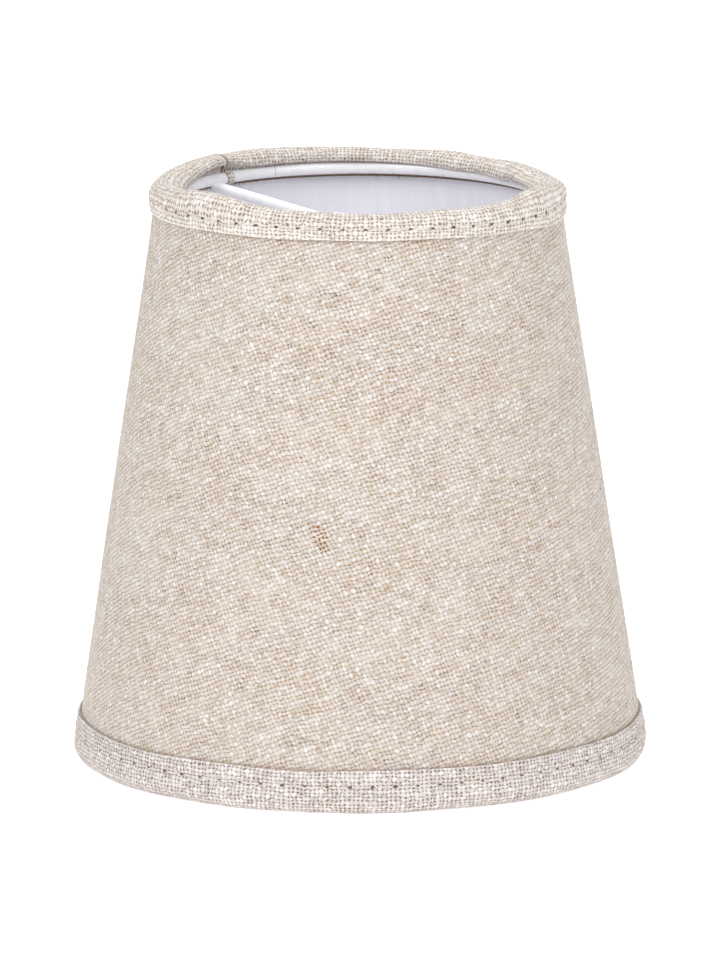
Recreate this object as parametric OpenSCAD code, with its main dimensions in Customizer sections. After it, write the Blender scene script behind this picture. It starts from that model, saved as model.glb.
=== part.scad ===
// Clip-on lamp shade for a candle bulb: a linen-covered tapered drum on two wire rings, with
// sewn tape trims, a wire crossbar under the top ring and a tilting spring clip that grips the bulb.
// Millimetres, +Z up. The origin is the centre of the plane that the bottom rim stands on, and the
// crossbar runs along X.

/* [Body] */
// Height from the standing plane to the crest of the top trim
height = 120.8; // [100:0.2:150]
// Radius of the linen at the standing plane
bottom_r = 59.5; // [54:0.5:70]
// Radius of the linen at the height of the crest
top_r = 41.5; // [40:0.5:48]
// Thickness of the linen
linen_t = 0.5; // [0.3:0.05:0.7]
// Thickness of the stiff plastic liner
liner_t = 0.4; // [0.3:0.05:0.6]
// Width of the lapped seam in the linen and the liner
seam_w = 9; // [6:0.5:14]

/* [Trims] */
// Height of the top trim's outer leg
top_band = 5.2; // [4:0.1:8]
// Height of the bottom trim's outer leg
bottom_band = 8.9; // [7.5:0.1:12]
// Thickness of the trim's folded outer leg
tape_t = 0.8; // [0.6:0.05:1]
// Thickness of the trim's single inner leg
tape_thin = 0.4; // [0.3:0.05:0.5]
// Length of tape that laps over itself where a trim's ends meet
tape_lap = 7; // [5:0.5:10]
// Spacing of the stitches
stitch_pitch = 4.65; // [3.5:0.05:5.5]
// Thickness of the sewing thread
thread_d = 0.34; // [0.25:0.01:0.4]

/* [Frame] */
// Wire thickness of the two rings
ring_d = 2.6; // [2.2:0.1:2.8]
// Wire thickness of the crossbar
bar_d = 2.2; // [1.6:0.1:2.4]
// Height of the crossbar's level middle, which is the tilt axis
axis_z = 111.55; // [110:0.05:113]
// Length of the crossbar's level middle
bar_level = 18; // [16:0.5:22]
// Radial clearance of a wire in its rolled sleeve
running = 0.04; // [0.02:0.01:0.08]

/* [Clip] */
// Wire thickness of the two jaws
jaw_d = 1.4; // [1.2:0.1:1.6]
// Width of a jaw's loop between the middles of its legs
jaw_w = 17; // [15:0.5:19]
// Distance of each jaw's hinge from the crossbar, measured across
hinge_y = 4.6; // [4.4:0.1:5]
// Depth of each jaw's hinge below the tilt axis
hinge_drop = 2.65; // [2.5:0.05:3]
// Length of the rolled edges that hold the jaws
saddle_l = 11; // [9:0.5:12]
// Thickness of the saddle's sheet
saddle_t = 0.8; // [0.6:0.05:1]

/* [Hidden] */
$fn = 48;
glue_gap = 0.03;          // between laminated or sewn layers
seam_angle = 172;         // where the linen's lapped seam lies, from +X
top_join_angle = 172;     // where the top trim's ends meet
bottom_join_angle = 164;  // where the bottom trim's ends meet
linen = "#d9cdb8";
tape = "#ded6c4";
enamel = "#f4f2ee";

// Outer radius of the linen at a height
function wall_r(z) = bottom_r + (top_r - bottom_r) * z / height;
function liner_inner_r(z) = wall_r(z) - linen_t - liner_t - 2 * glue_gap;

// The rolls of tape over the rings are half ellipses, given by their middles and half sizes
roll_half_w = 2.9;
roll_half_h = 2.5;
overhang = 1.7;           // how far the top roll stands out from the linen
top_roll = [wall_r(height) + overhang - roll_half_w, height - roll_half_h];
top_outer_r = top_roll[0] + roll_half_w;
land_depth = 0.06;        // how much of the bottom roll is pressed flat
low_half_w = 2.6;
low_half_h = 2.9;
low_overhang = 0.46;      // how far the bottom roll stands out from the linen's standing radius
bottom_roll = [bottom_r + low_overhang - low_half_w, low_half_h - land_depth];

ring_r = ring_d / 2;
tape_room = tape_thin + 2 * glue_gap;
under_roll = 0.4;         // between the middle of a roll and the ring it wraps
lip = 0.35;               // how far a roll's inner edge turns back towards its ring
lip_gap = 0.05;           // between that edge and the ring
seat_angle = 125;         // where the tape leaves the ring's inner side
top_ring_z = height - roll_half_h - ring_r - under_roll;
top_ring_r = liner_inner_r(top_ring_z + ring_r) - tape_room - ring_r - glue_gap;
bottom_ring_z = low_half_h + ring_r + under_roll;
bottom_ring_r = liner_inner_r(bottom_ring_z + ring_r) - tape_room - ring_r - glue_gap;
wall_z0 = 2.2;                         // the bottom edge of the linen and the liner, in the roll
wall_z1 = height - roll_half_h - 0.1;  // their top edge, in the roll

// A wire follows straight stretches joined by bends of a given radius.
function unit(v) = v / norm(v);
function turn(u, v) = acos(max(-1, min(1, u * v)));
function reach(u, v, bend) = bend * tan(turn(u, v) / 2);
function square_to(u) = unit(cross(u, abs(u[0]) < 0.9 ? [1, 0, 0] : [0, 1, 0]));

// Puts its children at `at`, with their X along x and their Y along y.
module placed(at, x, y) {
    z = cross(x, y);
    multmatrix([[x[0], y[0], z[0], at[0]], [x[1], y[1], z[1], at[1]], [x[2], y[2], z[2], at[2]],
                [0, 0, 0, 1]])
        children();
}

module rod(from, to, r) {
    u = unit(to - from);
    x = square_to(u);
    placed(from, x, cross(u, x)) cylinder(h = norm(to - from), r = r);
}

// The bend at a corner, where the wire arrives along u and leaves along v. A bent wire swells a
// hair, so the straight stretches run a little way into it.
swell = 0.02;
run_in = 0.15;
module elbow(corner, u, v, bend, r) {
    n = unit(v - u * (u * v));
    placed(corner - u * reach(u, v, bend) + n * bend, -n, u)
        rotate_extrude(angle = turn(u, v)) translate([bend, 0]) circle(r = r + swell);
}

module wire(points, bends, r) {
    last = len(points) - 1;
    ways = [for (i = [0:last - 1]) unit(points[i + 1] - points[i])];
    for (i = [0:last - 1]) {
        cut_a = i == 0 ? 0 : reach(ways[i - 1], ways[i], bends[i - 1]) - run_in;
        cut_b = i == last - 1 ? 0 : reach(ways[i], ways[i + 1], bends[i]) - run_in;
        rod(points[i] + ways[i] * cut_a, points[i + 1] - ways[i] * cut_b, r);
    }
    for (i = [1:last - 1]) elbow(points[i], ways[i - 1], ways[i], bends[i - 1], r);
}

module ring(major_r, z) {
    translate([0, 0, z]) rotate_extrude($fn = 96) translate([major_r, 0]) circle(r = ring_r);
}

// A layer of the wall, from `depth` under the linen's outside and `t` thick
module wall_layer(depth, t, z0, z1) {
    polygon([[wall_r(z0) - depth - t, z0], [wall_r(z0) - depth, z0],
             [wall_r(z1) - depth, z1], [wall_r(z1) - depth - t, z1]]);
}

// Repeats its outline round Z over `width` of arc at radius r, with its middle at angle `mid`
module strip(mid, width, r) {
    span = width / r * 180 / PI;
    rotate([0, 0, mid - span / 2]) rotate_extrude(angle = span, $fn = 96) children();
}

module top_ring() { color(enamel) ring(top_ring_r, top_ring_z); }

module bottom_ring() { color(enamel) ring(bottom_ring_r, bottom_ring_z); }

// The crossbar's two arms rise from its level middle and end under the top ring, hollowed to fit it.
arm_end_x = 39;
arm_end_z = 115.2;
arm_bend = 6;
module crossbar() {
    half = [[arm_end_x, 0, arm_end_z], [bar_level / 2, 0, axis_z]];
    other = [for (i = [1:-1:0]) [-half[i][0], 0, half[i][2]]];
    color(enamel)
        difference() {
            wire(concat(half, other), [arm_bend, arm_bend], bar_d / 2);
            translate([0, 0, top_ring_z]) rotate_extrude($fn = 96)
                translate([top_ring_r, 0]) circle(r = ring_r + glue_gap);
        }
}

// Two beads of weld at each end of the crossbar, one on either side of the wire
bead_r = 0.62;
bead_y = 1;
bead_in = 0.95;           // how far in and down the beads lie from the middle of the ring's wire
module ring_welds() {
    color(enamel)
        for (s = [-1, 1], t = [-1, 1])
            translate([s * (top_ring_r - bead_in), t * bead_y, top_ring_z - bead_in]) sphere(r = bead_r);
}

module liner() {
    color("#ecebf0") {
        rotate_extrude($fn = 96) wall_layer(linen_t + glue_gap, liner_t, wall_z0, wall_z1);
        strip(seam_angle, seam_w, bottom_r)
            wall_layer(linen_t + glue_gap + liner_t - 0.05, 0.25, bottom_band + 1, height - 7);
    }
}

module linen_cover() {
    color(linen) {
        rotate_extrude($fn = 96) wall_layer(0, linen_t, wall_z0, wall_z1);
        strip(seam_angle, seam_w, bottom_r)
            wall_layer(-0.3, 0.35, bottom_band + 0.4, height - top_band - 0.3);
    }
}

// Points on the arc of an ellipse
function arc(mid, w, h, a0, a1, steps) =
    [for (i = [0:steps]) let (a = a0 + (a1 - a0) * i / steps) mid + [w * cos(a), h * sin(a)]];

top_leg = 0.7;            // how far each inner leg of tape reaches past its ring
bottom_leg = 1.6;
// The top trim's outline: up the outer leg, over the roll, down onto the ring, down the inner leg
// between the ring and the liner, then back up and over the edge of the wall.
module top_trim_outline() {
    seat = ring_r + glue_gap;
    leg_z = top_ring_z - ring_r - top_leg;
    fold_z = height - top_band;
    in_r = liner_inner_r(wall_z1) - glue_gap;
    polygon(concat(
        [[wall_r(fold_z) + glue_gap, fold_z], [top_outer_r - 0.15, fold_z], [top_outer_r, fold_z + 0.4]],
        arc(top_roll, roll_half_w, roll_half_h, 0, 180, 14),
        [[top_roll[0] - roll_half_w + lip, top_ring_z + ring_r + lip_gap]],
        arc([top_ring_r, top_ring_z], seat, seat, seat_angle, 0, 8),
        [[top_ring_r + seat, leg_z], [in_r, leg_z], [in_r, wall_z1 + 0.05],
         [wall_r(wall_z1) + glue_gap, wall_z1 + 0.05]]));
}

module bottom_trim_outline() {
    seat = ring_r + glue_gap;
    leg_z = bottom_ring_z + ring_r + bottom_leg;
    in_leg = liner_inner_r(leg_z) - glue_gap;
    in_low = liner_inner_r(wall_z0) - glue_gap;
    z1 = bottom_band;
    under = [for (p = arc(bottom_roll, low_half_w, low_half_h, 0, -180, 18)) [p[0], max(0, p[1])]];
    polygon(concat(
        [[wall_r(z1) + glue_gap, z1], [wall_r(z1) + tape_t - 0.1, z1], [wall_r(z1 - 0.4) + tape_t, z1 - 0.4]],
        under,
        [[bottom_roll[0] - low_half_w + lip, bottom_ring_z - ring_r - lip_gap]],
        arc([bottom_ring_r, bottom_ring_z], seat, seat, -seat_angle, 0, 8),
        [[in_leg - tape_thin, leg_z], [in_leg, leg_z], [in_low, wall_z0 - 0.05],
         [wall_r(wall_z0) + glue_gap, wall_z0 - 0.05]]));
}

// Where a trim's ends meet, the last stretch of its outer leg lies over the first.
lap_t = 0.35;
module top_trim() {
    color(tape) {
        rotate_extrude($fn = 96) top_trim_outline();
        strip(top_join_angle, tape_lap, top_outer_r)
            polygon([[top_outer_r - 0.1, height - top_band + 0.5], [top_outer_r + lap_t, height - top_band + 0.5],
                     [top_outer_r + lap_t, top_roll[1]], [top_outer_r - 0.1, top_roll[1]]]);
    }
}

module bottom_trim() {
    leg_r0 = wall_r(2.6) + tape_t;
    leg_r1 = wall_r(bottom_band - 0.6) + tape_t;
    color(tape) {
        rotate_extrude($fn = 96) bottom_trim_outline();
        strip(bottom_join_angle, tape_lap, bottom_r)
            polygon([[leg_r0 - 0.1, 2.6], [leg_r0 + lap_t, 2.6],
                     [leg_r1 + lap_t, bottom_band - 0.6], [leg_r1 - 0.1, bottom_band - 0.6]]);
    }
}

// A round of stitches that just clears a surface of radius r; out is 1 outside it and -1 inside it
module stitches(r, z, out) {
    count = round(2 * PI * r / stitch_pitch);
    long = stitch_pitch * 0.76;
    sit = r + out * (thread_d / 2 + 0.02 + (out < 0 ? long * long / (8 * r) : 0));
    for (i = [0:count - 1])
        rotate([0, 0, (i + 0.5) * 360 / count])
            translate([sit, long / 2, z]) rotate([90, 0, 0]) cylinder(h = long, d = thread_d, $fn = 16);
}

top_stitch_z = height - 2.7;
bottom_stitch_z = bottom_band - 3.2;
module top_stitching() {
    color("#efe9dc")
        difference() {
            stitches(top_outer_r, top_stitch_z, 1);
            strip(top_join_angle, tape_lap + 2, top_outer_r)
                translate([top_outer_r - 1, top_stitch_z - 1]) square([3, 2]);
        }
}

module bottom_stitching() {
    color("#efe9dc")
        difference() {
            stitches(wall_r(bottom_stitch_z) + tape_t, bottom_stitch_z, 1);
            strip(bottom_join_angle, tape_lap + 2, bottom_r)
                translate([bottom_r - 2, bottom_stitch_z - 1]) square([4, 2]);
        }
}

bobbin_z = bottom_ring_z + ring_r + 0.55;
module bottom_bobbin_thread() {
    color("#efe9dc") stitches(liner_inner_r(bobbin_z) - glue_gap - tape_thin - 0.06, bobbin_z, -1);
}

// The saddle is a formed strip of sheet: its middle wraps the crossbar and its two long edges are
// rolled round the jaws' top bars.
hinge_z = axis_z - hinge_drop;
sleeve_r = bar_d / 2 + running + 0.6;
curl_r = jaw_d / 2 + running + 0.56;
module along_x(y, z, r, long) { translate([-long / 2, y, z]) rotate([0, 90, 0]) cylinder(h = long, r = r); }

module clip_saddle() {
    color(enamel)
        difference() {
            union() {
                along_x(0, axis_z, sleeve_r, saddle_l + 1);
                for (s = [-1, 1]) along_x(s * hinge_y, hinge_z, curl_r, saddle_l);
                translate([-saddle_l / 2, -hinge_y, hinge_z + jaw_d / 2 - 0.1])
                    cube([saddle_l, 2 * hinge_y, saddle_t]);
            }
            along_x(0, axis_z, bar_d / 2 + running, saddle_l + 3);
            for (s = [-1, 1]) along_x(s * hinge_y, hinge_z, jaw_d / 2 + running, saddle_l + 2);
        }
}

// A jaw's leg seen from the side: how far out and how far down from its hinge each corner is, and
// the radius of the bend there. It bows round the bulb, narrows under it and flares at the tip.
leg = [[6.2, 14.9, 30], [8.8, 32.9, 40], [8, 46.9, 15], [6.3, 52.9, 4], [8.6, 58.9, 4]];
module jaw(side) {
    half_w = jaw_w / 2;
    path = [for (p = leg) [side * (hinge_y + p[0]), hinge_z - p[1]]];
    n = len(leg);
    points = concat(
        [[0.3, side * hinge_y, hinge_z], [half_w, side * hinge_y, hinge_z]],
        [for (p = path) [half_w, p[0], p[1]]],
        [for (i = [n - 1:-1:0]) [-half_w, path[i][0], path[i][1]]],
        [[-half_w, side * hinge_y, hinge_z], [-0.3, side * hinge_y, hinge_z]]);
    bends = concat([2], [for (p = leg) p[2]], [for (i = [n - 1:-1:0]) leg[i][2]], [2]);
    wire(points, bends, jaw_d / 2);
}

module jaw_front() { color(enamel) jaw(-1); }

module jaw_back() { color(enamel) jaw(1); }

top_ring();
bottom_ring();
crossbar();
ring_welds();
liner();
linen_cover();
top_trim();
top_stitching();
bottom_trim();
bottom_stitching();
bottom_bobbin_thread();
clip_saddle();
jaw_front();
jaw_back();
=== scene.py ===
"""A clip-on linen lamp shade: its cloth, trims, threads and finishes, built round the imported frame."""

import math

import bpy
import numpy as np
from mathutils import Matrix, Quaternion, Vector


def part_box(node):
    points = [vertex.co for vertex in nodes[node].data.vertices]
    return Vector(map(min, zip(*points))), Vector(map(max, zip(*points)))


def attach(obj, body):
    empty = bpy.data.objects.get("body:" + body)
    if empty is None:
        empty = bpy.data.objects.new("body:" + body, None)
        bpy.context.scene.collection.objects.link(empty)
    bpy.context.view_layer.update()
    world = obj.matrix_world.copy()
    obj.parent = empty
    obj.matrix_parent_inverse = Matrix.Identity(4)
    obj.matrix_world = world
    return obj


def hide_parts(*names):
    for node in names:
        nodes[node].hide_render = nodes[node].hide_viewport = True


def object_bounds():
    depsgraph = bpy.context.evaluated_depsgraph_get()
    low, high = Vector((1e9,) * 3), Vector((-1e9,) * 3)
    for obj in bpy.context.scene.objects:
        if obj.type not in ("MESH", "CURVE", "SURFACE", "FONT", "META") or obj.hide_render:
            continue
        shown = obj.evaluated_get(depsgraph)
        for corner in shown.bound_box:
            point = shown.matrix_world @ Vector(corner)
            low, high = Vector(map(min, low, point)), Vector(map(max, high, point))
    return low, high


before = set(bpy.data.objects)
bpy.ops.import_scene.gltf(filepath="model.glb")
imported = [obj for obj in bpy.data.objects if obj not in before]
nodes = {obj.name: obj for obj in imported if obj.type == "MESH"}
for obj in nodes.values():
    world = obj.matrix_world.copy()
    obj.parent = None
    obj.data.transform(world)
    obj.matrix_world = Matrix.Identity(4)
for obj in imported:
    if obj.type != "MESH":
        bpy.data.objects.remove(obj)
cad_low, cad_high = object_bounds()

MM = 0.001
TAU = 2 * math.pi

# ---------------------------------------------------------------- camera

VIEW_AZIMUTH = math.radians(40)
VIEW_ELEVATION = math.radians(11.5)
VIEW_ROLL = math.radians(0.27)
CAMERA_DISTANCE = 18 * (cad_high.x - cad_low.x)
LENS = 389.2
SHIFT = (0.0011, -0.0147)


def add_camera():
    data = bpy.data.cameras.new("camera")
    data.lens = LENS
    data.sensor_width = 36
    data.shift_x, data.shift_y = SHIFT
    data.clip_start, data.clip_end = 0.1, 50
    flat = math.cos(VIEW_ELEVATION)
    back = Vector((math.sin(VIEW_AZIMUTH) * flat, -math.cos(VIEW_AZIMUTH) * flat, math.sin(VIEW_ELEVATION)))
    camera = bpy.data.objects.new("camera", data)
    camera.rotation_mode = "QUATERNION"
    camera.location = Vector((0, 0, cad_high.z / 2)) + back * CAMERA_DISTANCE
    camera.rotation_quaternion = Quaternion(back, -VIEW_ROLL) @ (-back).to_track_quat("-Z", "Y")
    bpy.context.scene.collection.objects.link(camera)
    bpy.context.scene.camera = camera


add_camera()

# ---------------------------------------------------------------- sizes, from the frame


def points_of(node):
    return np.array([v.co for v in nodes[node].data.vertices], float)


class Wall:
    """One face of a tapered wall: its radius at any height, read from the rims of its CAD node."""

    def __init__(self, node, pick):
        p = points_of(node)
        r = np.hypot(p[:, 0], p[:, 1])
        self.z0, self.z1 = p[:, 2].min(), p[:, 2].max()
        near = 0.05 * MM
        self.r0 = pick(r[p[:, 2] < self.z0 + near])
        self.r1 = pick(r[p[:, 2] > self.z1 - near])

    def r(self, z):
        return self.r0 + (self.r1 - self.r0) * (z - self.z0) / (self.z1 - self.z0)


class Ring:
    """A ring's wire thickness, its radius and its height, read from its CAD node."""

    def __init__(self, node):
        low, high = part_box(node)
        self.wire = (high.z - low.z) / 2
        self.r = high.x - self.wire
        self.z = (high.z + low.z) / 2


linen_out = Wall("linen_cover", np.max)
liner_in = Wall("liner", np.min)
top_ring, bottom_ring = Ring("top_ring"), Ring("bottom_ring")
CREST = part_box("top_trim")[1].z
TOP_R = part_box("top_trim")[1].x
BOTTOM_R = cad_high.x
TOP_FOLD = CREST - 5.2 * MM
BOTTOM_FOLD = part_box("bottom_trim")[1].z
TOP_STITCH = (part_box("top_stitching")[0].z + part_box("top_stitching")[1].z) / 2
BOTTOM_STITCH = (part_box("bottom_stitching")[0].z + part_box("bottom_stitching")[1].z) / 2
BOBBIN = (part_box("bottom_bobbin_thread")[0].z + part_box("bottom_bobbin_thread")[1].z) / 2
STITCH_PITCH = 4.65 * MM
FRONT = VIEW_AZIMUTH - math.pi / 2  # the azimuth, from +X, that faces the camera
SEAM = math.radians(172)  # the middle of the linen's lapped seam
SEAM_LAP = 9 * MM
LINEN = 0.5 * MM  # the linen's thickness
TOP_JOIN = math.radians(177)  # where the top tape's ends meet
BOTTOM_JOIN = math.radians(164)
TAPE = 0.36 * MM  # the tapes' thickness
TAPE_LAP = 7 * MM
TAPER = (linen_out.r0 - linen_out.r1) / math.hypot(linen_out.z1 - linen_out.z0, linen_out.r0 - linen_out.r1)

# ---------------------------------------------------------------- mesh helpers


def mesh_object(name, points, faces, uv=None):
    mesh = bpy.data.meshes.new(name)
    mesh.from_pydata(np.asarray(points).tolist(), [], faces)
    if uv is not None:
        layer = mesh.uv_layers.new(name="Cloth")
        layer.uv.foreach_set("vector", np.asarray(uv, np.float32).ravel())
    mesh.polygons.foreach_set("use_smooth", [True] * len(mesh.polygons))
    piece = bpy.data.objects.new(name, mesh)
    bpy.context.scene.collection.objects.link(piece)
    return piece


def loop_surface(name, angles, section_at, flat_at):
    """A closed section swept once round Z. section_at(angle) gives its (r, z) points, and flat_at(angle)
    their places on the flat cloth. The last angle is one turn after the first and shares its points."""
    columns = [section_at(a) for a in angles[:-1]]
    rows = len(columns[0])
    count = len(columns)
    points = np.array(
        [[(r * math.cos(a), r * math.sin(a), z) for r, z in c] for a, c in zip(angles, columns)]
    ).reshape(-1, 3)
    i, j = np.meshgrid(np.arange(count), np.arange(rows), indexing="ij")
    i2, j2 = (i + 1) % count, (j + 1) % rows
    faces = np.stack([i * rows + j, i2 * rows + j, i2 * rows + j2, i * rows + j2], -1).reshape(-1, 4)
    flat = np.array([flat_at(a) for a in angles])
    flat = np.concatenate([flat, flat[:, :1]], 1)
    uv = np.stack([flat[i, j], flat[i + 1, j], flat[i + 1, j + 1], flat[i, j + 1]], 2).reshape(-1, 2)
    return mesh_object(name, points, faces.tolist(), uv)


def tubes(name, paths, radii, sides):
    """Round threads along paths, an array of (thread, point, xyz), with closed flat ends."""
    paths = np.asarray(paths, float)
    count, long, _ = paths.shape
    along = np.gradient(paths, axis=1)
    along /= np.linalg.norm(along, axis=2, keepdims=True)
    aside = np.cross(along, [0.31, 0.17, 0.93])
    aside /= np.linalg.norm(aside, axis=2, keepdims=True)
    up = np.cross(along, aside)
    turn = np.arange(sides) * TAU / sides
    radii = np.broadcast_to(np.asarray(radii, float), (count, long))[..., None, None]
    rings = paths[:, :, None] + radii * (
        aside[:, :, None] * np.cos(turn)[:, None] + up[:, :, None] * np.sin(turn)[:, None]
    )
    each = long * sides
    points = rings.reshape(-1, 3)
    k, i, j = np.meshgrid(np.arange(count), np.arange(long - 1), np.arange(sides), indexing="ij")
    a, b = k * each + i * sides + j, k * each + i * sides + (j + 1) % sides
    faces = np.stack([a, b, b + sides, a + sides], -1).reshape(-1, 4).tolist()
    for t in range(count):
        faces.append([t * each + j for j in reversed(range(sides))])
        faces.append([t * each + each - sides + j for j in range(sides)])
    return mesh_object(name, points, faces)


class Ripple:
    """Smooth seeded unevenness round a loop and across it, about -1 to 1."""

    def __init__(self, seed, waves, lowest, highest, across=0.0):
        rng = np.random.default_rng(seed)
        self.around = rng.integers(lowest, highest + 1, waves)
        self.across = rng.uniform(-across, across, waves) / MM
        self.phase = rng.uniform(0, TAU, waves)
        self.size = rng.uniform(0.4, 1, waves)
        self.size /= np.sqrt((self.size**2).sum())

    def at(self, angle, s=0.0):
        s = np.asarray(s, float)
        return (self.size * np.sin(self.around * angle + self.across * s[..., None] + self.phase)).sum(-1)


class Lumps:
    """Uneven places left by the maker's hands. Each has a middle in degrees, from the front and positive
    to the right, a half width in degrees and an amount in millimetres."""

    def __init__(self, *lumps):
        self.lumps = lumps

    def at(self, angle):
        turn = math.degrees(angle - FRONT)
        total = 0.0
        for middle, width, amount in self.lumps:
            off = (turn - middle + 180) % 360 - 180
            total += amount * math.exp(-((off / width) ** 2))
        return total * MM


def smooth_step(x, low, high):
    t = np.clip((np.asarray(x, float) - low) / (high - low), 0, 1)
    return t * t * (3 - 2 * t)


def past(angle, start):
    """How far round from start, from 0 to one turn."""
    return (angle - start) % TAU


def round_angles(start, steps, near=0.0, extra=0):
    """One turn from start in even steps, with extra steps packed into the first and last `near` of it."""
    angles = np.linspace(0, TAU, steps + 1)
    if extra:
        ends = np.linspace(0, near, extra + 2)[1:-1]
        angles = np.unique(np.concatenate([angles, ends, TAU - ends]))
    return start + angles


# ---------------------------------------------------------------- the linen cover


def flat_cone(angle, z):
    """Where a point of the wall lies on the flat cloth, seen from outside and measured from the front."""
    slant = linen_out.r(z) / TAPER
    turn = angle * TAPER
    return np.stack([slant * np.sin(turn), -slant * np.cos(turn)], -1)


def build_linen():
    lap = SEAM_LAP / BOTTOM_R
    step = 0.55 * MM
    dents = Ripple(11, 9, 2, 9, 0.06)
    cockle = Ripple(12, 14, 18, 60, 0.25)
    z_out = np.linspace(linen_out.z0, linen_out.z1, 84)
    z_in = z_out[::-1][[0, 28, 55, 83]]
    angles = round_angles(SEAM - lap / 2, 660, 2.5 * lap, 30)

    def section(a):
        gone = past(a, SEAM - lap / 2)
        lifted = step * smooth_step(gone, 0.0, 0.004) * (1 - smooth_step(gone, lap, 2.4 * lap))
        if gone > TAU - 0.5 * lap:
            lifted = 0.0
        free = smooth_step(z_out, linen_out.z0 + 6 * MM, linen_out.z0 + 14 * MM) * (
            1 - smooth_step(z_out, linen_out.z1 - 12 * MM, linen_out.z1 - 3 * MM)
        )
        bumps = 0.10 * MM * dents.at(a, z_out) + 0.035 * MM * cockle.at(a, z_out)
        r_out = linen_out.r(z_out) + free * (bumps + lifted)
        r_in = linen_out.r(z_in) - LINEN
        return np.concatenate([np.stack([r_out, z_out], -1), np.stack([r_in, z_in], -1)])

    def flat(a):
        """The seam is behind, so the cloth runs from it, past the front, back to it."""
        turn = a - FRONT - TAU
        return np.concatenate([flat_cone(turn, z_out), flat_cone(turn, z_in)])

    cloth = loop_surface("linen_panel", angles, section, flat)
    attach(cloth, "shade")
    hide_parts("linen_cover")
    long_edge, short_edge = linen_out.r0 / TAPER, linen_out.r1 / TAPER
    half_turn = math.pi * TAPER
    width = 2 * long_edge * math.sin(half_turn) + SEAM_LAP
    depth = long_edge - short_edge * math.cos(half_turn)
    area = half_turn * (long_edge**2 - short_edge**2) + SEAM_LAP * (long_edge - short_edge)
    return cloth


# ---------------------------------------------------------------- the tape trims


def arc(centre, across, up, start, end, steps):
    a = np.radians(np.linspace(start, end, steps))
    return np.stack([centre[0] + across * np.cos(a), centre[1] + up * np.sin(a)], -1)


class Hem:
    """A tape trim's outline, from its tucked-under edge, round its fold, leg, roll and lip, to its raw
    edge. One of its needle holes lies `hole` degrees from the front. side is 1 where the outline runs
    upwards from its fold and -1 where it runs down."""

    def __init__(self, tuck, fold, leg, roll, lip, hidden, stitch_z, hole, side):
        self.outline = np.concatenate([tuck, fold, leg, roll, lip, hidden])
        self.fold = len(tuck)
        self.leg = self.fold + len(fold)
        self.roll = self.leg + len(leg)
        self.visible = self.roll + len(roll) + len(lip)
        steps = np.linalg.norm(np.diff(self.outline, axis=0), axis=1)
        self.reach = np.concatenate([[0], np.cumsum(steps)])
        self.stitch_z = stitch_z
        self.row = np.arange(len(self.outline))
        legs = self.outline[self.leg : self.roll]
        nearest = np.argmin(np.abs(legs[:, 1] - stitch_z))
        self.stitch_r = float(legs[nearest, 0])
        self.stitch_reach = float(self.reach[self.leg + nearest])
        self.widest = float(self.outline[:, 0].max())
        self.count = round(TAU * self.stitch_r / STITCH_PITCH)
        self.first_hole = FRONT + math.radians(hole)
        along = np.gradient(self.outline, axis=0)
        normal = np.stack([along[:, 1], -along[:, 0]], -1) * side
        self.normal = normal / np.maximum(np.linalg.norm(normal, axis=1, keepdims=True), 1e-9)
        inside = self.row[::2]
        self.back = inside[::-1]


SLACK = 0.06 * MM  # between a tape and what it is folded round
LEG_GAP = 0.84 * MM  # from the tucked layer to the outer leg
LIP_W, LIP_H = 0.45 * MM, 0.5 * MM


def seam_groove(z, stitch_z):
    """How far the stitches pull the tape in, at a height near them."""
    return 0.20 * MM * np.exp(-(((z - stitch_z) / (0.42 * MM)) ** 2))


def top_hem():
    """The top tape: its hidden leg runs down between the ring and the liner."""
    fold_r = 0.42 * MM
    base = linen_out.r(TOP_FOLD) + SLACK
    half_w, half_h = 2.9 * MM, 2.5 * MM
    centre = (TOP_R - half_w, CREST - half_h)
    tuck_z = TOP_FOLD + np.array([2.0, 1.2, 0.7]) * MM
    tuck = np.stack([np.full(3, base), tuck_z], -1)
    fold = arc((base + fold_r, TOP_FOLD + fold_r), fold_r, fold_r, 180, 350, 8)
    leg_z = np.linspace(TOP_FOLD + 0.6 * MM, centre[1] - 0.05 * MM, 12)
    leg_r = base + LEG_GAP + (TOP_R - base - LEG_GAP) * smooth_step(leg_z, leg_z[0], leg_z[-1])
    leg = np.stack([leg_r - seam_groove(leg_z, TOP_STITCH), leg_z], -1)
    roll = arc(centre, half_w, half_h, 4, 176, 26)
    lip = arc((TOP_R - 2 * half_w + LIP_W, centre[1] - 0.1 * MM), LIP_W, LIP_H, 185, 300, 6)
    seat = top_ring.wire + SLACK
    hug = arc((top_ring.r, top_ring.z), seat, seat, 112, 0, 7)
    raw_z = top_ring.z - top_ring.wire - 0.75 * MM
    hidden = np.concatenate([hug, [[top_ring.r + seat, raw_z]]])
    return Hem(tuck, fold, leg, roll, lip, hidden, TOP_STITCH, 2.1, 1)


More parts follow.
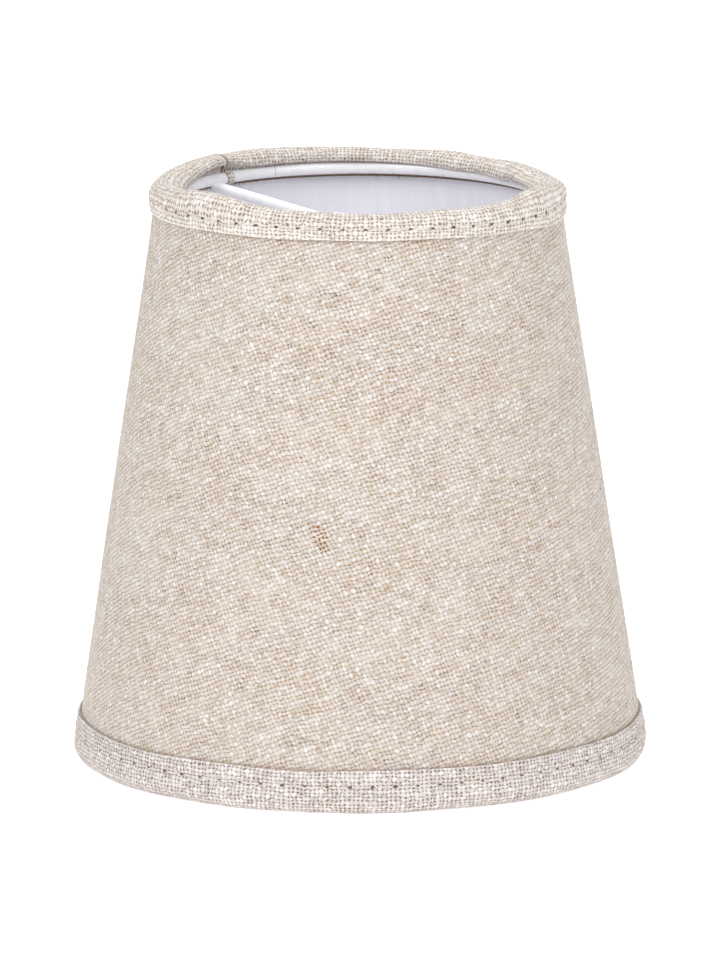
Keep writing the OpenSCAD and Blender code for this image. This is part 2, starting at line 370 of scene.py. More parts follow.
def bottom_hem():
    """The bottom tape: its hidden leg runs up between the ring and the liner."""
    fold_r = 0.40 * MM
    base = linen_out.r(BOTTOM_FOLD) + SLACK
    half_w, half_h = 2.6 * MM, 2.9 * MM
    centre = (BOTTOM_R - half_w, half_h - 0.06 * MM)
    tuck_z = BOTTOM_FOLD - np.array([4.6, 3.0, 1.6, 0.7]) * MM
    tuck = np.stack([linen_out.r(tuck_z) + SLACK, tuck_z], -1)
    fold = arc((base + fold_r, BOTTOM_FOLD - fold_r), fold_r, fold_r, 180, 10, 8)
    leg_z = np.linspace(BOTTOM_FOLD - 0.6 * MM, centre[1] + 0.05 * MM, 22)
    leg_r = linen_out.r(leg_z) + LEG_GAP - seam_groove(leg_z, BOTTOM_STITCH)
    leg_r += (BOTTOM_R - leg_r[-1]) * smooth_step(-leg_z, -BOTTOM_STITCH, -leg_z[-1])
    leg = np.stack([leg_r, leg_z], -1)
    roll = arc(centre, half_w, half_h, -3, -177, 26)
    roll[:, 1] = np.maximum(roll[:, 1], 0)
    lip = arc((BOTTOM_R - 2 * half_w + LIP_W, centre[1] + 0.1 * MM), LIP_W, LIP_H, 175, 60, 6)
    seat = bottom_ring.wire + SLACK
    hug = arc((bottom_ring.r, bottom_ring.z), seat, seat, -112, 0, 7)
    raw_z = bottom_ring.z + bottom_ring.wire + 1.6 * MM
    hidden = np.concatenate([hug, [[liner_in.r(raw_z) - 0.42 * MM, raw_z]]])
    return Hem(tuck, fold, leg, roll, lip, hidden, BOTTOM_STITCH, 15.9, -1)


CREST_LIFT = Lumps(
    (-50, 22, 2.1),
    (-112, 16, 0.1),
    (-148, 14, 0.8),
    (175, 16, -0.2),
    (141, 10, -0.6),
    (108, 14, -1.4),
    (66, 13, 1.3),
)
LIP_LIFT = Lumps((-130, 13, 2.0), (-163, 18, 0.6), (180, 10, 0.25), (146, 9, -0.5), (126, 10, -0.8))
INNER_BULGE = Lumps((105, 26, 2.4), (-88, 26, 1.7))
FOLD_DROP = Lumps((-64, 16, 0.55), (76, 36, 1.8))
SEAM_DROP = Lumps((58, 36, 1.1))
EVEN = Lumps()
TOP_LUMPS = [CREST_LIFT, LIP_LIFT, INNER_BULGE, FOLD_DROP, SEAM_DROP]
BOTTOM_LUMPS = [EVEN] * len(TOP_LUMPS)


def hand_shape(hem, moved, angle, crest_lift, lip_lift, inner_bulge, fold_drop, seam_drop):
    """Lifts and swells a top tape's outline by the lumps at this angle."""
    rise, lip, bulge = crest_lift.at(angle), lip_lift.at(angle), inner_bulge.at(angle)
    fold, seam = fold_drop.at(angle), seam_drop.at(angle)
    base = hem.outline[:, 1]
    levels = [hem.outline[hem.fold : hem.leg, 1].min(), hem.stitch_z, hem.outline[hem.roll, 1], base.max()]
    outer = np.interp(base, levels, [-fold, -seam, -0.6 * seam, rise])
    top_row = int(np.argmax(base))
    share = np.clip((hem.row - top_row) / (hem.visible - 1 - top_row), 0, 1)
    inner = rise + (lip - rise) * smooth_step(share, 0, 0.85)
    moved[:, 1] += np.where(hem.row <= top_row, outer, np.where(hem.row < hem.visible, inner, 0))
    moved[:, 0] -= bulge * smooth_step(share, 0.05, 0.6) * (hem.row < hem.visible)
    return moved


def build_tape(name, node, hem, join, seed, per_stitch, lumps):
    swell = Ripple(seed, 8, 3, 14, 0.3)
    pucker = Ripple(seed + 1, 16, 70, 150, 0.35)
    wander = Ripple(seed + 2, 5, 4, 13)
    free = smooth_step(hem.row, hem.leg - 2, hem.leg + 2)
    free = free * (1 - smooth_step(hem.row, hem.visible - 5, hem.visible - 1))
    outer_leg = (hem.row >= hem.leg) & (hem.row < hem.roll + 6)
    off_seam = (hem.outline[:, 1] - hem.stitch_z) / MM
    held = np.exp(-((off_seam / 0.8) ** 2)) * outer_leg
    dimple = 0.06 * MM * np.exp(-((off_seam / 1.5) ** 2)) * outer_leg
    inner = smooth_step(-hem.outline[:, 0], -hem.widest + 1.5 * MM, -hem.outline[:, 0].min()) * free
    lap = TAPE_LAP / hem.widest
    fold_rows = 1 - smooth_step(hem.row, hem.leg - 2, hem.leg + 8)

    def shaped(a):
        gone = past(a, join)
        lap_step = 0.42 * MM * smooth_step(gone, 0.0, 0.006) * (1 - smooth_step(gone, lap, 3.0 * lap))
        uneven = 0.13 * MM * swell.at(a, hem.reach) + 0.05 * MM * (0.4 + inner) * pucker.at(a, hem.reach)
        pull = math.cos(hem.count * (a - hem.first_hole))
        out = free * (1 - 0.85 * held) * (uneven + lap_step) - dimple * pull * free
        moved = hand_shape(hem, hem.outline + hem.normal * out[:, None], a, *lumps)
        moved[:, 1] += fold_rows * 0.10 * MM * wander.at(a)
        back = moved[hem.back] - hem.normal[hem.back] * TAPE
        moved = np.concatenate([moved, back])
        moved[:, 1] = np.maximum(moved[:, 1], 0)
        return moved

    def flat(a):
        reach = np.concatenate([hem.reach, hem.reach[hem.back]])
        return np.stack([np.full(len(reach), (a - join) * hem.widest), reach], -1)

    angles = round_angles(join, hem.count * per_stitch, 1.2 * lap, 24)
    tape = loop_surface(name, angles, shaped, flat)
    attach(tape, "shade")
    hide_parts(node)
    return tape


# ---------------------------------------------------------------- threads

PLY_R = 0.095 * MM
TWIST_R = 0.075 * MM


def stitch_paths(count, r, z, out, start, drop):
    """Two twisted plies for each stitch: the thread comes up at one hole and dives into the next."""
    steps = np.linspace(0, 1, 15)
    proud, sunk = 0.16 * MM, 0.20 * MM
    rise = proud * np.sin(math.pi * steps) ** 0.5 - sunk * (np.abs(steps - 0.5) > 0.46)
    rng = np.random.default_rng(count)
    paths = []
    for k in range(count):
        a = start + (k + 0.09 + 0.82 * steps) * TAU / count
        skew = rng.uniform(-0.09, 0.09, 2) * MM
        height = z - drop.at(a.mean()) + skew[0] + skew[1] * (steps - 0.5)
        twist = rng.uniform(0, TAU) + steps * TAU * 1.6
        for ply in (0, math.pi):
            rr = r + out * rise + TWIST_R * np.cos(twist + ply)
            zz = height + TWIST_R * np.sin(twist + ply)
            paths.append(np.stack([rr * np.cos(a), rr * np.sin(a), zz], -1))
    return np.array(paths)


def build_stitches(name, node, hem, r, z, out, drop, material):
    thread = tubes(name, stitch_paths(hem.count, r, z, out, hem.first_hole, drop), PLY_R, 6)
    thread.data.materials.append(material)
    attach(thread, "shade")
    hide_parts(node)


def build_raw_edge(material):
    """The loose thread ends of the top tape's cut edge, under the ring."""
    count, seed = 900, 51
    shortest, longest = 0.5 * MM, 0.95 * MM
    r = top_ring.r + top_ring.wire + 0.2 * MM
    z = top_ring.z - top_ring.wire - 0.6 * MM
    rng = np.random.default_rng(seed)
    crowd = Ripple(seed, 7, 2, 16)
    steps = np.linspace(0, 1, 5)
    paths = []
    for k in range(count):
        a = (k + rng.uniform(-0.4, 0.4)) * TAU / count
        long = rng.uniform(shortest, longest) * (0.75 + 0.35 * crowd.at(a))
        drift = rng.normal(0, 0.35) * long
        curl = rng.uniform(-0.05, 0.30) * long
        rr = r + rng.uniform(-0.12, 0.12) * MM - curl * steps**2
        zz = z - (long * steps - 0.5 * MM)
        aa = a + drift * steps**1.5 / r
        paths.append(np.stack([rr * np.cos(aa), rr * np.sin(aa), zz], -1))
    thinning = np.array([1.0, 1.0, 0.9, 0.75, 0.4]) * 0.10 * MM
    ends = tubes("top_raw_edge", np.array(paths), thinning, 4)
    ends.data.materials.append(material)
    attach(ends, "shade")


def build_tail(material):
    """The top tape's cut end, a few threads wide, that hangs over the ring beside the crossbar."""
    turns = np.linspace(80, 236, 14)
    widths = np.linspace(-0.5, 0.5, 7)
    seat = top_ring.wire + 0.10 * MM
    width, thick = 1.9 * MM, 0.32 * MM
    rng = np.random.default_rng(5)
    fray = rng.uniform(-0.12, 0.12, (len(turns), len(widths)))
    points = []
    for side in (0, 1):
        for i, t in enumerate(np.radians(turns)):
            mid = math.radians(175.3 - 1.6 * i / len(turns))
            for j, w in enumerate(widths):
                a = mid + (w + 0.25 * fray[i, j]) * width / top_ring.r
                lift = seat + side * thick * (1 - (2 * w) ** 4 * 0.7) + fray[i, j] * 0.3 * MM
                r, z = top_ring.r + lift * math.cos(t), top_ring.z + lift * math.sin(t)
                points.append((r * math.cos(a), r * math.sin(a), z))
    rows, cols = len(turns), len(widths)
    each = rows * cols
    faces = []
    for i in range(rows - 1):
        for j in range(cols - 1):
            a = i * cols + j
            quad = [a, a + 1, a + cols + 1, a + cols]
            faces.append(quad[::-1])
            faces.append([each + q for q in quad])
    rim = list(range(cols)) + [i * cols + cols - 1 for i in range(1, rows)]
    rim += [(rows - 1) * cols + j for j in reversed(range(cols - 1))]
    rim += [i * cols for i in reversed(range(1, rows - 1))]
    for a, b in zip(rim, rim[1:] + rim[:1]):
        faces.append([a, b, each + b, each + a])
    flat = [[(j * 0.3 * MM, i * 0.3 * MM) for j in range(cols)] for i in range(rows)]
    places = [flat[i][j] for _ in (0, 1) for i in range(rows) for j in range(cols)]
    uv = [places[v] for f in faces for v in f]
    tail = mesh_object("tape_tail", points, faces, uv)
    tail.data.materials.append(material)
    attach(tail, "shade")


# ---------------------------------------------------------------- material helpers


def srgb(r, g, b):
    """A colour given as it looks on a screen, 0 to 255."""
    return tuple(((c / 255 + 0.055) / 1.055) ** 2.4 if c > 10 else c / 3295 for c in (r, g, b)) + (1,)


class Field:
    """A number that varies over a surface. Arithmetic on it adds Math nodes to its tree."""

    def __init__(self, tree, socket):
        self.tree, self.socket = tree, socket

    def do(self, operation, *others):
        node = self.tree.nodes.new("ShaderNodeMath")
        node.operation = operation
        for i, value in enumerate((self, *others)):
            feed(self.tree, node.inputs[i], value)
        return Field(self.tree, node.outputs[0])

    def __add__(self, other):
        return self.do("ADD", other)

    def __sub__(self, other):
        return self.do("SUBTRACT", other)

    def __mul__(self, other):
        return self.do("MULTIPLY", other)

    def __truediv__(self, other):
        return self.do("DIVIDE", other)

    __radd__, __rmul__ = __add__, __mul__

    def __rsub__(self, other):
        return (self * -1.0) + other

    def ramp(self, low, high, out_low=0.0, out_high=1.0):
        """Runs smoothly from out_low to out_high as this goes from low to high."""
        node = self.tree.nodes.new("ShaderNodeMapRange")
        node.interpolation_type = "SMOOTHSTEP"
        for i, value in enumerate((self, low, high, out_low, out_high)):
            feed(self.tree, node.inputs[i], value)
        return Field(self.tree, node.outputs[0])


def feed(tree, socket, value):
    if isinstance(value, Field):
        tree.links.new(value.socket, socket)
    else:
        socket.default_value = value


def vector(tree, x, y, z=0.0):
    node = tree.nodes.new("ShaderNodeCombineXYZ")
    for i, value in enumerate((x, y, z)):
        feed(tree, node.inputs[i], value)
    return Field(tree, node.outputs[0])


def split(tree, socket):
    node = tree.nodes.new("ShaderNodeSeparateXYZ")
    tree.links.new(socket, node.inputs[0])
    return [Field(tree, node.outputs[i]) for i in range(3)]


def noise(tree, place, scale=1.0, detail=2.0, roughness=0.5):
    node = tree.nodes.new("ShaderNodeTexNoise")
    tree.links.new(place.socket, node.inputs["Vector"])
    node.inputs["Scale"].default_value = scale
    node.inputs["Detail"].default_value = detail
    node.inputs["Roughness"].default_value = roughness
    return Field(tree, node.outputs[0])


def dice(tree, number):
    """A steady random number from 0 to 1 for each whole number."""
    node = tree.nodes.new("ShaderNodeTexWhiteNoise")
    node.noise_dimensions = "1D"
    feed(tree, node.inputs["W"], number)
    return Field(tree, node.outputs["Value"])


def crossing_dice(tree, nu, nv):
    """Three steady random numbers for each crossing of two threads."""
    node = tree.nodes.new("ShaderNodeTexWhiteNoise")
    node.noise_dimensions = "2D"
    tree.links.new(vector(tree, nu, nv).socket, node.inputs["Vector"])
    return split(tree, node.outputs["Color"])


def blend(tree, share, a, b):
    """Mixes two colours, each a tuple or a field."""
    node = tree.nodes.new("ShaderNodeMix")
    node.data_type = "RGBA"
    feed(tree, node.inputs["Factor"], share)
    for name, value in (("A", a), ("B", b)):
        socket = next(s for s in node.inputs if s.name == name and s.type == "RGBA")
        feed(tree, socket, value)
    return Field(tree, next(s for s in node.outputs if s.type == "RGBA"))


def bump(tree, height, distance, strength=1.0):
    node = tree.nodes.new("ShaderNodeBump")
    node.inputs["Strength"].default_value = strength
    node.inputs["Distance"].default_value = distance
    tree.links.new(height.socket, node.inputs["Height"])
    return Field(tree, node.outputs[0])


def new_material(name, **sockets):
    """A Principled material, with plain values set on the shader's own sockets."""
    material = bpy.data.materials.new(name)
    material.use_nodes = True
    tree = material.node_tree
    shader = tree.nodes["Principled BSDF"]
    for key, value in sockets.items():
        shader.inputs[key.replace("_", " ")].default_value = value
    return material, tree, shader


def cloth_place(tree):
    node = tree.nodes.new("ShaderNodeUVMap")
    node.uv_map = "Cloth"
    return split(tree, node.outputs[0])[:2]


def object_place(tree):
    node = tree.nodes.new("ShaderNodeTexCoord")
    return node.outputs["Object"]


# ---------------------------------------------------------------- cloth materials


class Weave:
    """A plain weave. u counts the threads of one set and v those of the other, so thread number floor(u)
    runs along v. It gives the height of the cloth, which set is on top, and three random numbers for each
    crossing. lead_v lifts the v threads."""

    def __init__(self, tree, u, v, half_u, half_v, swing_u, swing_v, lead_v=0.0):
        self.nu, self.nv = u.do("FLOOR"), v.do("FLOOR")
        su, sv = u - self.nu - 0.5, v - self.nv - 0.5
        side = 1.0 - (self.nu + self.nv).do("FLOORED_MODULO", 2.0) * 2.0
        over_u = self.crown(su, half_u) + side * (sv * math.pi).do("COSINE") * swing_u
        over_v = self.crown(sv, half_v) - side * (su * math.pi).do("COSINE") * swing_v + lead_v
        self.height = over_u.do("MAXIMUM", over_v).do("MAXIMUM", -0.5)
        self.u_on_top = over_u.do("GREATER_THAN", over_v)
        self.random = crossing_dice(tree, self.nu, self.nv)

    def crown(self, across, half):
        """The round back of a thread, dropping away outside its width."""
        inside = 1.0 - (across / half) * (across / half)
        return inside.do("MAXIMUM", 0.0).do("SQRT") - inside.do("LESS_THAN", 0.0) * 2.0

    def either(self, for_u, for_v):
        """The first value where a u thread is on top, the second where a v thread is."""
        return for_v + self.u_on_top * (for_u - for_v)


def thin_place(x, y, across):
    """1 in a short run of threads spun too thin, left of and below the middle of the front."""
    middle = flat_cone(math.radians(-9.1), 56 * MM)
    dx, dy = x - float(middle[0]), y - float(middle[1])
    aside = (dx * math.cos(across) + dy * math.sin(across)) / (1.7 * MM)
    along = (dy * math.cos(across) - dx * math.sin(across)) / (4.2 * MM)
    return (aside * aside + along * along).ramp(1.2, 0.3)


def linen_material():
    """Natural linen: uneven threads that run askew to the cone, pale on their crowns, with painted shade on
    their flanks and tan painted shade in the gaps between them.
    """
    material, tree, shader = new_material(
        "linen_cloth", Roughness=0.95, Sheen_Weight=0.16, Sheen_Roughness=0.5, Specular_IOR_Level=0.1
    )
    x, y = cloth_place(tree)
    pitch_u, pitch_v = 0.845 * MM, 0.905 * MM
    dir_u, dir_v = math.radians(24.3), math.radians(106.8)
    across_u = (x * math.cos(dir_u) + y * math.sin(dir_u)) / pitch_u
    across_v = (x * math.cos(dir_v) + y * math.sin(dir_v)) / pitch_v
    broad = noise(tree, vector(tree, across_u * 0.05, across_v * 0.05, 0.0), 1.0, 2.0)
    sway_u = noise(tree, vector(tree, across_u * 0.08, across_v * 0.08, 4.0), 1.0, 1.0)
    sway_v = noise(tree, vector(tree, across_u * 0.08, across_v * 0.08, 8.0), 1.0, 1.0)
    jitter_u = noise(tree, vector(tree, across_u * 0.6, across_v * 0.6, 2.0), 1.0, 1.0)
    jitter_v = noise(tree, vector(tree, across_u * 0.6, across_v * 0.6, 6.0), 1.0, 1.0)
    u = across_u + (sway_u - 0.5) * 1.5 + (jitter_u - 0.5) * 1.25
    v = across_v + (sway_v - 0.5) * 1.5 + (jitter_v - 0.5) * 1.1
    seed_u, seed_v = dice(tree, u.do("FLOOR")), dice(tree, v.do("FLOOR") + 900.0)
    slub_u = noise(tree, vector(tree, seed_u * 60.0, v * 0.22, 3.1), 1.0, 2.0, 0.6)
    slub_v = noise(tree, vector(tree, u * 0.22, seed_v * 60.0, 9.7), 1.0, 2.0, 0.6)
    gape = thin_place(x, y, dir_u) * 0.15
    half_u = slub_u.ramp(0.3, 0.7, 0.29, 0.47) - gape
    half_v = slub_v.ramp(0.3, 0.7, 0.34, 0.54) - gape
    weave = Weave(tree, u, v, half_u, half_v, 0.55, 0.34, 0.15)
    streak = weave.either(slub_u, slub_v)
    one, two, three = weave.random
    mottle = noise(tree, vector(tree, x / MM * 0.55, y / MM * 0.55, 5.0), 1.0, 3.0, 0.6)
    tone = one * 0.40 + streak.ramp(0.3, 0.7) * 0.35 + mottle.ramp(0.3, 0.7) * 0.25
    pale = blend(tree, tone, srgb(180, 174, 169), srgb(232, 232, 234))
    tan = weave.either(seed_u, seed_v).ramp(0.62, 0.95) * 0.30
    pale = blend(tree, tan, pale, srgb(212, 192, 166))
    # Painted shade: the darker colour on the threads' flanks, and the tan and brown between the threads,
    # laid by the weave's height.
    edge = blend(tree, two, srgb(172, 148, 123), srgb(197, 179, 160))
    gap_shade = blend(tree, three, srgb(120, 84, 52), srgb(170, 133, 98))
    # Where the threads are thin, the painted shade between them is darker and more orange.
    gap_shade = blend(tree, gape * 6.0, gap_shade, srgb(134, 84, 34))
    cloth = blend(tree, weave.height.ramp(0.70, 1.45), edge, pale)
    cloth = blend(tree, weave.height.ramp(0.38, -0.28), cloth, gap_shade)
    cloth = blend(tree, broad.ramp(0.42, 0.72) * 0.16, cloth, srgb(220, 215, 206))
    dark_fleck = three.do("LESS_THAN", 0.010)
    cloth = blend(tree, dark_fleck * weave.height.ramp(1.4, 0.3), cloth, srgb(96, 70, 46))
    rare_u = noise(tree, vector(tree, seed_u * 130.0, v * 0.3, 7.7), 1.0, 1.0)
    rare_v = noise(tree, vector(tree, u * 0.3, seed_v * 130.0, 2.2), 1.0, 1.0)
    shive = weave.either(rare_u, rare_v).ramp(0.73, 0.80)
    cloth = blend(tree, shive * weave.height.ramp(1.5, 0.0) * 0.8, cloth, srgb(176, 128, 66))
    fibre = noise(tree, vector(tree, x / MM * 9.0, y / MM * 9.0, 0.0), 1.0, 2.0)
    cloth = blend(tree, fibre.ramp(0.40, 0.75) * 0.14, cloth, srgb(180, 160, 140))
    # Painted shade: a thin brown band on the cloth just under the top tape's fold and just over the bottom
    # tape's fold.
    slant = (x * x + y * y).do("SQRT")
    painted_shade_under_top_fold = (slant - linen_out.r(TOP_FOLD) / TAPER).ramp(0.7 * MM, 0.1 * MM) * 0.25
    painted_shade_over_bottom_fold = (linen_out.r(BOTTOM_FOLD) / TAPER - slant).ramp(0.6 * MM, 0.1 * MM) * 0.25
    cloth = blend(tree, painted_shade_under_top_fold + painted_shade_over_bottom_fold, cloth, srgb(158, 116, 74))
    tree.links.new(cloth.socket, shader.inputs["Base Color"])
    relief = weave.height + (fibre - 0.5) * 0.5 + (streak - 0.5) * 0.6
    tree.links.new(bump(tree, relief, 0.12 * MM, 0.8).socket, shader.inputs["Normal"])
    return material


def tape_material(name, hem, join, pale, dull, hole, ends_show):
    """A trim's straight-grain linen: open corners between its threads and a needle hole at each stitch,
    both darkened with painted shade, and painted shade on the threads' flanks. Where its ends show, they
    meet in a crease darkened with painted shade, and the raw edge is worn."""
    material, tree, shader = new_material(
        name, Roughness=0.95, Sheen_Weight=0.08, Sheen_Roughness=0.5, Specular_IOR_Level=0.1
    )
    x, y = cloth_place(tree)
    pitch_u, pitch_v = 0.93 * MM, 0.80 * MM
    sway = noise(tree, vector(tree, x / MM * 0.09, y / MM * 0.09, 1.0), 1.0, 1.0)
    jitter_u = noise(tree, vector(tree, x / MM * 0.7, y / MM * 0.7, 6.0), 1.0, 1.0)
    jitter_v = noise(tree, vector(tree, x / MM * 0.7, y / MM * 0.7, 9.0), 1.0, 1.0)
    u = x / pitch_u + (sway - 0.5) * 1.6 + (jitter_u - 0.5) * 1.2
    v = y / pitch_v + (sway - 0.5) * 1.2 + (jitter_v - 0.5) * 1.2
    seed_u, seed_v = dice(tree, u.do("FLOOR")), dice(tree, v.do("FLOOR") + 900.0)
    slub_u = noise(tree, vector(tree, seed_u * 60.0, v * 0.2, 3.1), 1.0, 2.0, 0.6)
    slub_v = noise(tree, vector(tree, u * 0.2, seed_v * 60.0, 9.7), 1.0, 2.0, 0.6)
    half_u, half_v = slub_u.ramp(0.3, 0.7, 0.28, 0.47), slub_v.ramp(0.3, 0.7, 0.28, 0.47)
    weave = Weave(tree, u, v, half_u, half_v, 0.45, 0.45)
    streak = weave.either(slub_u, slub_v)
    one, _, three = weave.random
    open_at = noise(tree, vector(tree, x / MM * 0.22, y / MM * 0.35, 3.0), 1.0, 2.0)
    threads = blend(tree, one * 0.55 + streak.ramp(0.3, 0.7) * 0.45, dull, pale)
    tan = weave.either(seed_u, seed_v).ramp(0.65, 0.95) * 0.25
    threads = blend(tree, tan, threads, tuple(a * b for a, b in zip(pale, (0.80, 0.68, 0.54, 1))))
    # Painted shade: the darker colour on the threads' flanks, and the brown in the open corners between the
    # threads.
    edge = tuple(0.5 * a + 0.5 * b for a, b in zip(hole, dull))
    soft_hole = tuple(0.6 * a + 0.4 * b for a, b in zip(hole, dull))
    gaps = blend(tree, open_at.ramp(0.38, 0.66) * 0.6 + three * 0.4, hole, soft_hole)
    cloth = blend(tree, weave.height.ramp(0.30, 1.25), edge, threads)
    cloth = blend(tree, weave.height.ramp(0.40, -0.20), cloth, gaps)

    # Each needle hole is darkened with painted shade.
    lead = (hem.first_hole - join) * hem.widest
    per = (x - lead) * (hem.count / (TAU * hem.widest))
    number = (per + 0.5).do("FLOOR")
    big = dice(tree, number + 40.0).ramp(0.0, 1.0, 0.85, 1.2)
    du = (per - number) * (STITCH_PITCH / (0.52 * MM)) / big
    dv = (y - hem.stitch_reach) / (0.23 * MM) / big
    pierced = (du * du + dv * dv).do("SQRT").ramp(1.2, 0.5)
    cloth = blend(tree, pierced * 0.92, cloth, srgb(88, 60, 38))
    if ends_show:
        crest = float(hem.reach[int(np.argmax(hem.outline[:, 1]))])
        # Painted shade in the crease where the tape's ends meet.
        crease_shade = (x - 0.35 * MM).do("ABSOLUTE").ramp(0.75 * MM, 0.15 * MM)
        inside = (y - crest).ramp(-1.6 * MM, 0.6 * MM)
        cloth = blend(tree, crease_shade * inside * 0.85, cloth, srgb(112, 78, 44))
        worn = (y - float(hem.reach[-1])).ramp(-1.2 * MM, 0.0)
        cloth = blend(tree, worn * 0.9, cloth, srgb(112, 84, 48))
    tree.links.new(cloth.socket, shader.inputs["Base Color"])
    fibre = noise(tree, vector(tree, x / MM * 9.0, y / MM * 9.0, 0.0), 1.0, 2.0)
    relief = weave.height + (fibre - 0.5) * 0.5 - pierced * 2.0
    tree.links.new(bump(tree, relief, 0.12 * MM, 0.8).socket, shader.inputs["Normal"])
    return material


def fibre_material(name, light, dark, scale):
    """Yarn: streaky, rough, two-toned."""
    material, tree, shader = new_material(name, Roughness=0.85, Sheen_Weight=0.3, Sheen_Roughness=0.4)
    place = Field(tree, object_place(tree))
    tone = noise(tree, place, scale / MM, 3.0, 0.6)
    tree.links.new(blend(tree, tone.ramp(0.35, 0.65), dark, light).socket, shader.inputs["Base Color"])
    tree.links.new(bump(tree, tone, 0.05 * MM, 0.7).socket, shader.inputs["Normal"])
    return material


# ---------------------------------------------------------------- hard materials


def enamel_material(name, seam_angle=None):
    """Glossy white stoving enamel, a little uneven, slightly worn to grey in places."""
    material, tree, shader = new_material(
        name, Specular_IOR_Level=0.5, Coat_Weight=0.35, Coat_Roughness=0.12
    )
    place = Field(tree, object_place(tree))
    lumps = noise(tree, place, 0.35 / MM, 2.0)
    grain = noise(tree, place, 3.0 / MM, 2.0)
    colour = blend(tree, lumps.ramp(0.35, 0.7), srgb(248, 248, 250), srgb(252, 252, 253))
    colour = blend(tree, grain.ramp(0.66, 0.80) * 0.35, colour, srgb(214, 212, 208))
    if seam_angle is not None:
        px, py, _ = split(tree, place.socket)
        turn = py.do("ARCTAN2", px)
        off = (turn - seam_angle).do("ABSOLUTE")
        butt = off.ramp(0.0035, 0.0015)
        colour = blend(tree, butt * 0.55, colour, srgb(150, 148, 146))
    tree.links.new(colour.socket, shader.inputs["Base Color"])
    tree.links.new(lumps.ramp(0.3, 0.7, 0.24, 0.36).socket, shader.inputs["Roughness"])
    tree.links.new(bump(tree, lumps + grain * 0.12, 0.05 * MM, 0.5).socket, shader.inputs["Normal"])
    return material


def liner_material():
    """Matt white liner sheet, with the cloth behind it printing through faintly as upright bands."""
    material, tree, shader = new_material("liner_sheet", Specular_IOR_Level=0.3)
    px, py, pz = split(tree, object_place(tree))
    turn = py.do("ARCTAN2", px)
    bands = noise(tree, vector(tree, turn * 26.0, pz / MM * 0.03, 0.0), 1.0, 2.0)
    fine = noise(tree, vector(tree, turn * 150.0, pz / MM * 0.25, 2.0), 1.0, 2.0)
    colour = blend(tree, bands.ramp(0.3, 0.7), srgb(243, 242, 249), srgb(246, 246, 251))
    colour = blend(tree, fine.ramp(0.45, 0.75) * 0.35, colour, srgb(236, 235, 245))
    tree.links.new(colour.socket, shader.inputs["Base Color"])
    tree.links.new(fine.ramp(0.3, 0.7, 0.5, 0.62).socket, shader.inputs["Roughness"])
    tree.links.new(bump(tree, bands + fine * 0.4, 0.06 * MM, 0.4).socket, shader.inputs["Normal"])
    return material


def dress(node, material):
    for slot in nodes[node].material_slots:
        slot.material = material


# ---------------------------------------------------------------- build



def add_top_trim(thread, raw_ends):
    """The top tape with its stitches, its raw edge and its cut tail."""
    hem = top_hem()
    tape = build_tape("top_tape", "top_trim", hem, TOP_JOIN, 31, 11, TOP_LUMPS)
    # hole is the painted shade in the open corners between the threads.
    pale, dull, hole = srgb(239, 237, 235), srgb(205, 196, 187), srgb(136, 94, 56)
    cloth = tape_material("top_tape_cloth", hem, TOP_JOIN, pale, dull, hole, True)
    tape.data.materials.append(cloth)
    build_stitches("top_stitches", "top_stitching", hem, hem.stitch_r, TOP_STITCH, 1, SEAM_DROP, thread)
    build_raw_edge(raw_ends)
    build_tail(cloth)


def add_bottom_trim(thread):
    """The bottom tape with its stitches outside and its bobbin thread inside."""
    hem = bottom_hem()
    tape = build_tape("bottom_tape", "bottom_trim", hem, BOTTOM_JOIN, 41, 9, BOTTOM_LUMPS)
    # hole is the painted shade in the open corners between the threads.
    pale, dull, hole = srgb(234, 230, 229), srgb(194, 184, 179), srgb(108, 80, 60)
    cloth = tape_material("bottom_tape_cloth", hem, BOTTOM_JOIN, pale, dull, hole, False)
    tape.data.materials.append(cloth)
    build_stitches("bottom_stitches", "bottom_stitching", hem, hem.stitch_r, BOTTOM_STITCH, 1, EVEN, thread)
    bobbin_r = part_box("bottom_bobbin_thread")[1].x - 0.05 * MM
    build_stitches("bobbin_stitches", "bottom_bobbin_thread", hem, bobbin_r, BOBBIN, -1, EVEN, thread)


linen = linen_material()
sewing_thread = fibre_material("sewing_thread", srgb(238, 234, 228), srgb(212, 202, 190), 2.0)
raw_ends = fibre_material("raw_ends", srgb(172, 142, 100), srgb(108, 82, 50), 0.8)

build_linen().data.materials.append(linen)
add_top_trim(sewing_thread, raw_ends)
add_bottom_trim(sewing_thread)

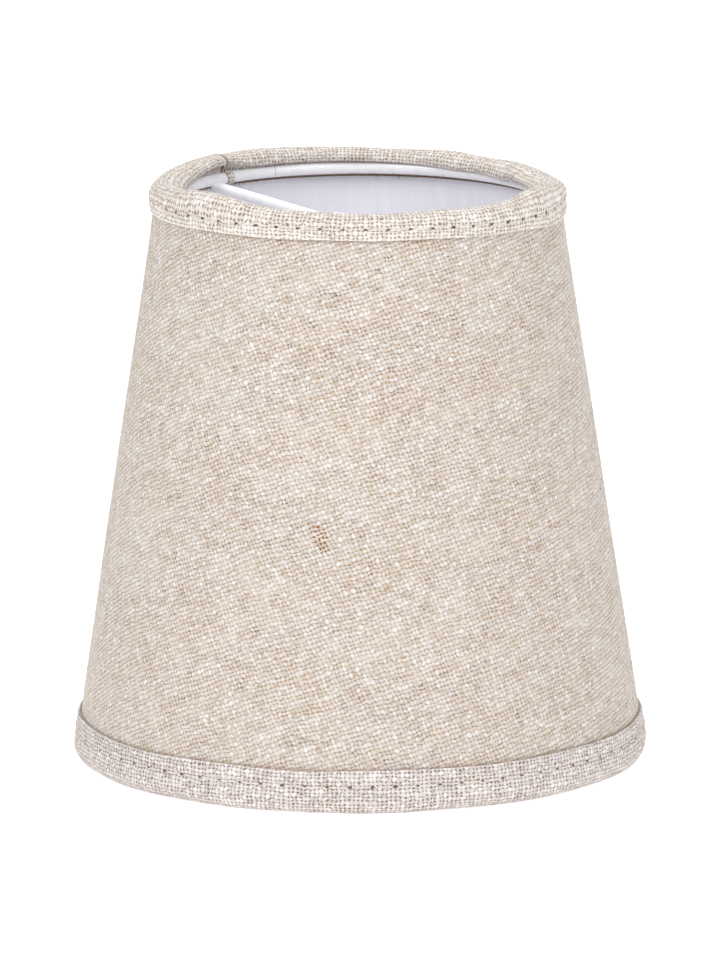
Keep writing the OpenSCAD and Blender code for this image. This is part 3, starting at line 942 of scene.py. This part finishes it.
enamel = enamel_material("white_enamel")
dress("top_ring", enamel_material("ring_enamel_top", math.radians(157)))
for node in ("bottom_ring", "crossbar", "ring_welds", "clip_saddle", "jaw_front", "jaw_back"):
    dress(node, enamel)
dress("liner", liner_material())

# ---------------------------------------------------------------- studio

FLOOR_GLOW = 0.45
WORLD_STRENGTH = 0.43
LAMP_SIZE = 0.9
LAMP_AIM = Vector((0, 0, 0.06))


def add_floor():
    """White paper, with a slight glow so that it comes out as white as the photo's background."""
    far = 6.0
    corners = [(-far, -far, 0), (far, -far, 0), (far, far, 0), (-far, far, 0)]
    floor = mesh_object("floor", corners, [(0, 1, 2, 3)])
    material, tree, shader = new_material(
        "floor_paper",
        Roughness=0.9,
        Specular_IOR_Level=0.1,
        Emission_Color=(1, 1, 1, 1),
        Emission_Strength=FLOOR_GLOW,
    )
    grain = noise(tree, Field(tree, object_place(tree)), 40.0, 2.0)
    paper = blend(tree, grain, srgb(248, 248, 248), srgb(252, 252, 252))
    tree.links.new(paper.socket, shader.inputs["Base Color"])
    floor.data.materials.append(material)


def add_area(name, place, power):
    """A round white lamp at this place, aimed at the middle of the shade."""
    data = bpy.data.lights.new(name, "AREA")
    data.shape, data.size, data.energy = "DISK", LAMP_SIZE, power
    light = bpy.data.objects.new(name, data)
    light.location = place
    light.rotation_mode = "QUATERNION"
    light.rotation_quaternion = (LAMP_AIM - Vector(place)).to_track_quat("-Z", "Y")
    bpy.context.scene.collection.objects.link(light)


def around(azimuth, distance, height):
    """A place at this azimuth from the front, turned to the right as seen by the camera."""
    a = FRONT + math.radians(azimuth)
    return (distance * math.cos(a), distance * math.sin(a), height)


def add_light():
    world = bpy.data.worlds.new("studio")
    world.use_nodes = True
    background = world.node_tree.nodes["Background"]
    background.inputs["Color"].default_value = (1.0, 1.0, 1.0, 1)
    background.inputs["Strength"].default_value = WORLD_STRENGTH
    bpy.context.scene.world = world
    add_area("left", around(-40, 1.2, 1.0), 8.3)
    add_area("right", around(36, 1.2, 1.0), 7.1)
    add_area("back", around(175, 1.3, 1.0), 5.5)
    add_area("top", (0, 0, 1.6), 7.3)


add_floor()
add_light()
bpy.context.scene.view_settings.view_transform = "Standard"
